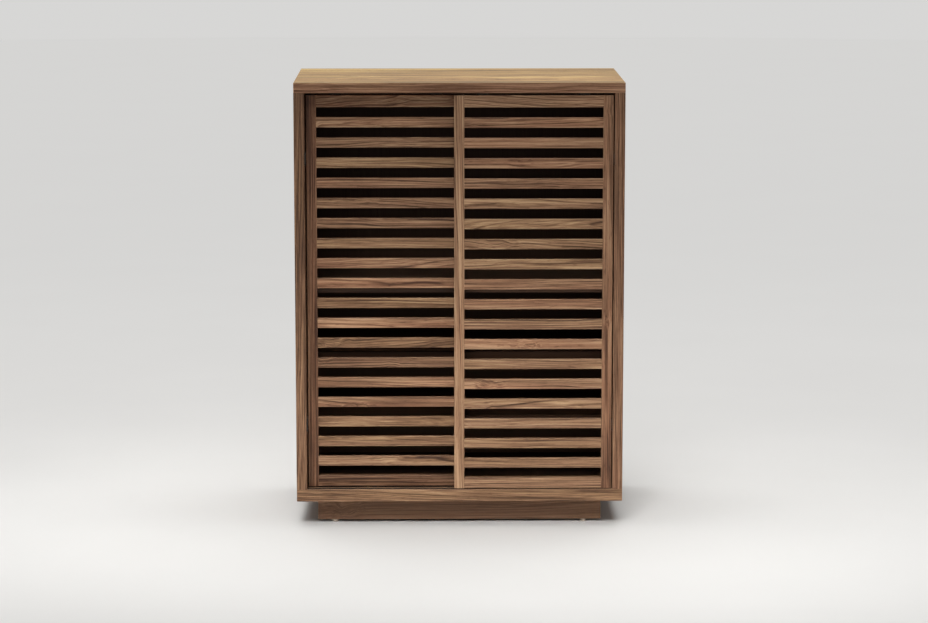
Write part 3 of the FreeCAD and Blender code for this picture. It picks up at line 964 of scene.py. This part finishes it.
screw_head = make_screw_head()
place_screws("back_panel_screws", screw_head, back_screw_places(), (0, 1, 0), random.Random(7))
place_screws("corner_block_screws", screw_head, block_screw_places(), (0, 0, -1), random.Random(8))


# Floor, light and camera

AMBIENT = (0.22, 0.218, 0.2145, 1.0)
BACKGROUND = (0.680, 0.676, 0.667, 1.0)
FLOOR_LIFT = (0.540, 0.538, 0.532, 1.0)
FLOOR_PAPER = (shade(197, 196, 194), shade(203, 202, 200))
FLOOR_MOTTLE_PER_METRE = 2.0
FLOOR_ROUGHNESS = 0.9
FLOOR_RADIUS = 18.0
FLOOR_SIDES = 128
LAMP_REACH = 3.6

LENS = 113.0
SENSOR_WIDTH = 36.0
FAR_CLIP = 60.0
CAMERA_PLACE = (-0.0760, -7.225, 1.665)
CAMERA_DOWN = 9.17
CAMERA_RIGHT = 0.71


def seen_ray(w):
    """One for the rays that show a surface to the eye, straight or in gloss or glass."""
    path = w.add("LightPath").outputs
    seen = w.math("MAXIMUM", path["Is Camera Ray"], path["Is Glossy Ray"])
    return w.math("MAXIMUM", seen, path["Is Transmission Ray"])


def make_floor():
    """A round pale floor, wide enough to reach past the camera on every side."""
    shell = bmesh.new()
    bmesh.ops.create_circle(shell, cap_ends=True, radius=FLOOR_RADIUS, segments=FLOOR_SIDES)
    floor = shown("floor", mesh_from(shell, "floor"))
    material, w, shader = start_finish(
        "pale_floor", Specular_IOR_Level=0.0, Roughness=FLOOR_ROUGHNESS, Emission_Color=FLOOR_LIFT,
    )
    spot = w.spot()
    mottle = w.noise(spot, FLOOR_MOTTLE_PER_METRE, detail=3.0)
    w.set(shader.inputs["Base Color"], w.tint(mottle, *FLOOR_PAPER))
    # away from the cabinet, where the lamps fade, the floor shows as pale as the background
    away = w.math("DIVIDE", w.vector("LENGTH", spot), LAMP_REACH)
    fading = w.plus(w.times(away, away), 1.0)
    lift = w.less(1.0, w.math("DIVIDE", 1.0, w.times(fading, fading)))
    w.set(shader.inputs["Emission Strength"], w.times(lift, seen_ray(w)))
    # from below the floor is clear, so the underside of the cabinet can be looked at
    one_sided = w.add("MixShader", {"Fac": w.add("NewGeometry").outputs["Backfacing"]})
    w.set(one_sided.inputs[1], shader.outputs[0])
    w.set(one_sided.inputs[2], w.add("BsdfTransparent").outputs[0])
    w.set(w.add("OutputMaterial").inputs["Surface"], one_sided.outputs[0])
    floor.data.materials.append(material)


def add_softbox(name, place, target, width, height, power, spread=180.0):
    """A lamp of so many metres and watts at a place, turned to a target."""
    lamp = bpy.data.lights.new(name, "AREA")
    lamp.shape = "RECTANGLE"
    lamp.size = width
    lamp.size_y = height
    lamp.energy = power
    lamp.spread = math.radians(spread)
    softbox = shown(name, lamp)
    softbox.location = place
    direction = Vector(target) - Vector(place)
    softbox.rotation_euler = direction.to_track_quat("-Z", "Y").to_euler()


def make_studio():
    """The world: even ambient light, which shows as a pale background."""
    studio = bpy.data.worlds.new("studio")
    studio.use_nodes = True
    studio.node_tree.nodes.clear()
    w = Wiring(studio.node_tree)
    sky = w.add("Background", {"Color": w.tint(seen_ray(w), AMBIENT, BACKGROUND)})
    w.set(w.add("OutputWorld").inputs["Surface"], sky.outputs[0])
    bpy.context.scene.world = studio


def add_camera():
    """Camera over half a metre above the cabinet's top, and seven metres from its front."""
    lens = bpy.data.cameras.new("camera")
    lens.lens = LENS
    lens.sensor_width = SENSOR_WIDTH
    lens.clip_end = FAR_CLIP
    camera = shown("camera", lens)
    camera.location = CAMERA_PLACE
    camera.rotation_euler = (math.radians(90 - CAMERA_DOWN), 0.0, math.radians(-CAMERA_RIGHT))
    bpy.context.scene.camera = camera


make_floor()
add_softbox(
    "overhead_softbox", place=(0.0, 0.3, 3.4), target=(0.0, 0.1, 0.6),
    width=3.0, height=2.0, power=122.0,
)
add_softbox(
    "front_softbox", place=(0.0, -2.4, 2.6), target=(0.0, -0.22, 0.05),
    width=2.8, height=1.0, power=3.4, spread=36.0,
)
add_softbox(
    "low_softbox", place=(-0.6, -2.4, 2.4), target=(0.0, -0.22, -0.1),
    width=2.4, height=1.0, power=5.1, spread=30.0,
)
make_studio()
add_camera()
bpy.context.scene.view_settings.view_transform = "Standard"
